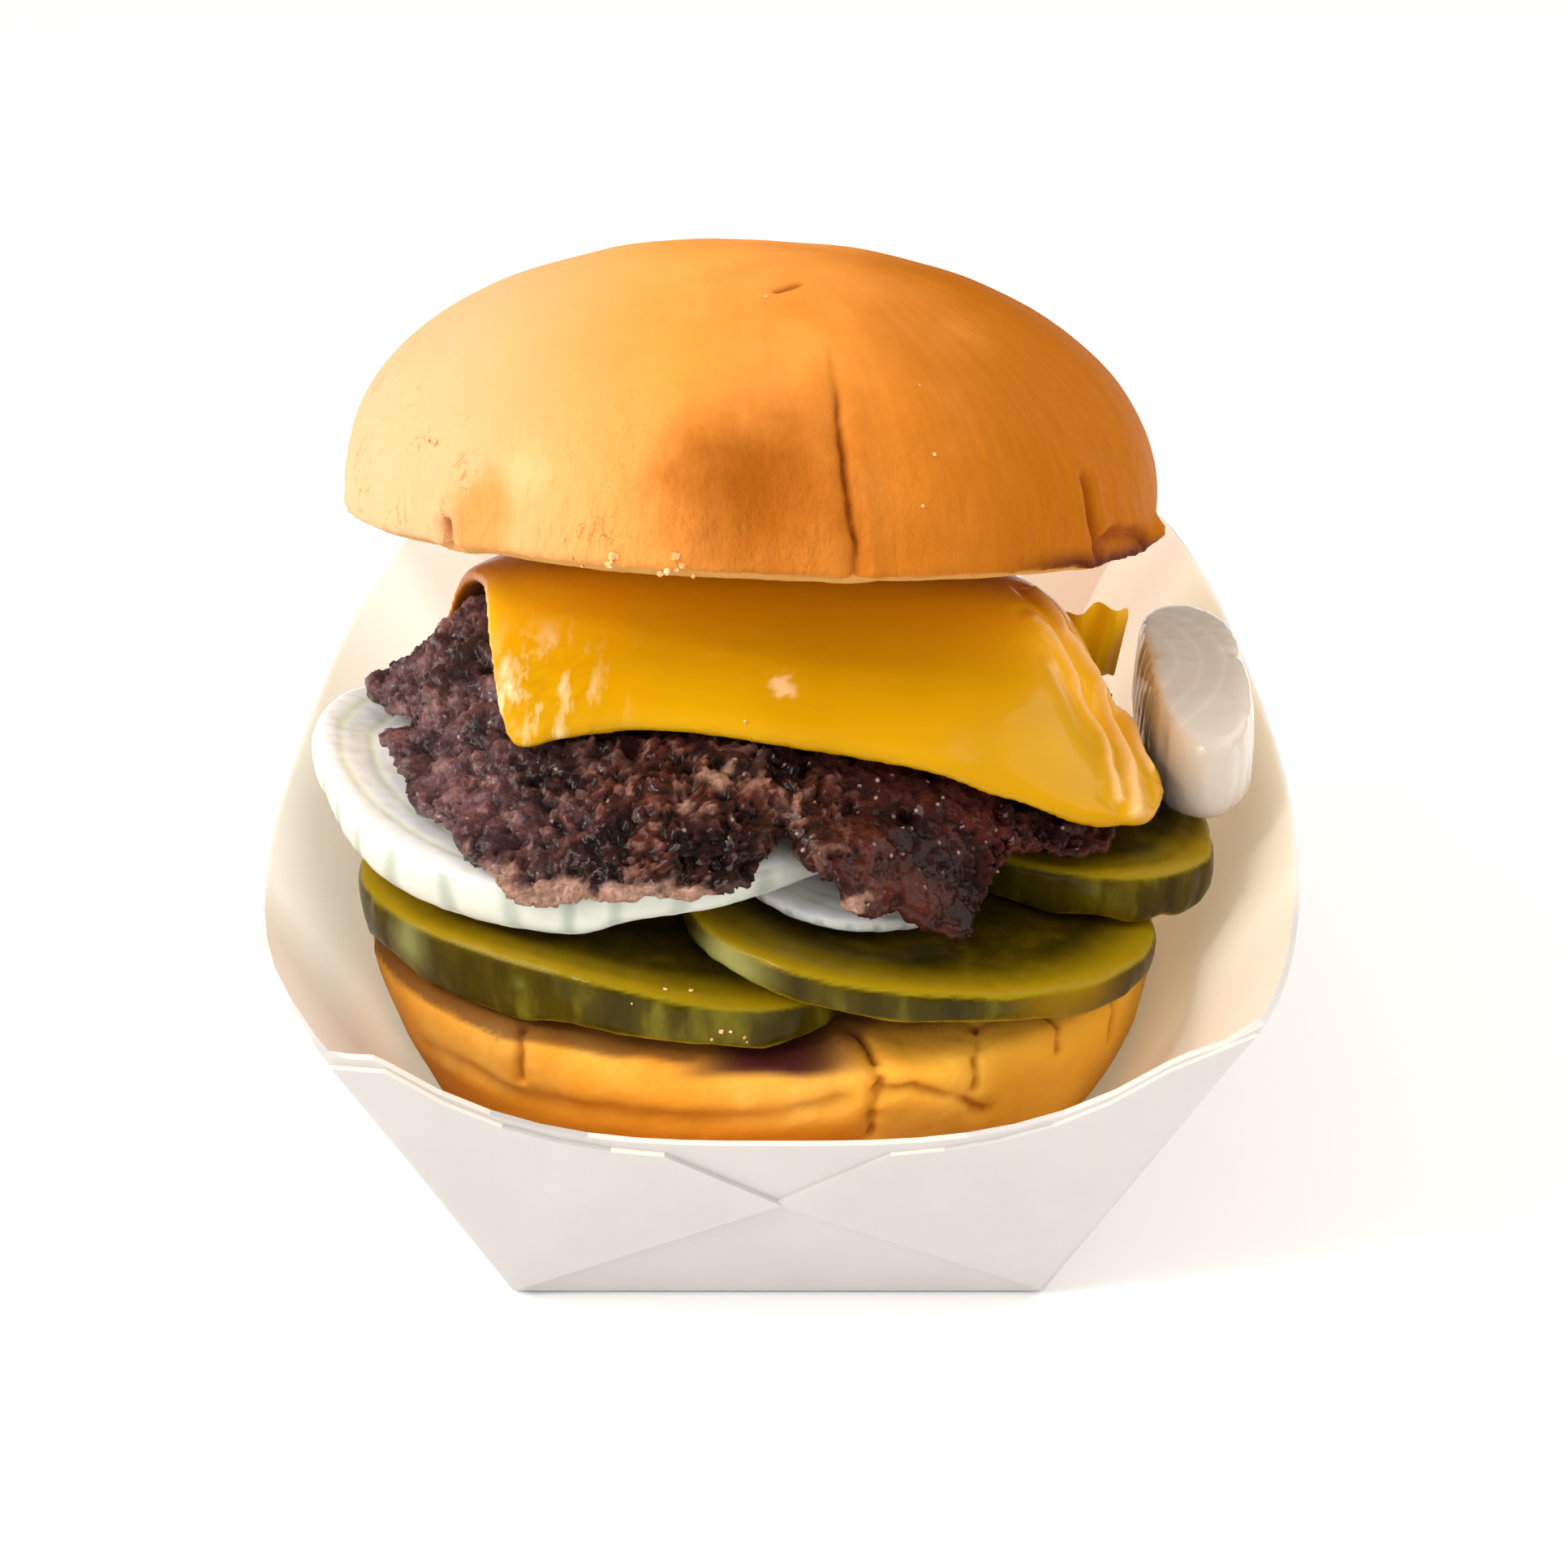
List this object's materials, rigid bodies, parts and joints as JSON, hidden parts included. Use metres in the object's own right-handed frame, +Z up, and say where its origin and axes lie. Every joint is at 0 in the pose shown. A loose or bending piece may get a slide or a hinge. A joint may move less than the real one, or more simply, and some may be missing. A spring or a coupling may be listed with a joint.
{
  "type": "cheeseburger in an open card tray",
  "caption": "Cheeseburger with pickle and onion slices, a ragged seared patty and melted cheese, wedged in a folded open card tray.",
  "frame": {"origin": "middle of the underside of the tray's flat base", "axes": "+Z up, -Y towards the open front end of the tray that faces the viewer, X across the tray"},
  "size_m": [0.1243, 0.1611, 0.1111],
  "materials": {
    "white_card": "uncoated white card, matte",
    "bun_heel": "soft golden crumb and crust, matte",
    "pickle": "wet, green skin with a yellow-green cut face",
    "raw_onion": "raw, translucent and moist",
    "seared_patty": "seared, coarse and greasy",
    "melted_cheese": "melted, smooth and glossy",
    "bun_crown": "golden baked crust, soft sheen"
  },
  "bodies": {
    "root": {"tray": "white_card", "bottom_bun": "bun_heel", "pickle_front_left": "pickle", "pickle_front_right": "pickle", "pickle_back_right": "pickle", "onion_under": "raw_onion", "onion_left": "raw_onion", "onion_right": "raw_onion", "patty": "seared_patty", "cheese": "melted_cheese", "top_bun": "bun_crown"}
  },
  "joints": []
}
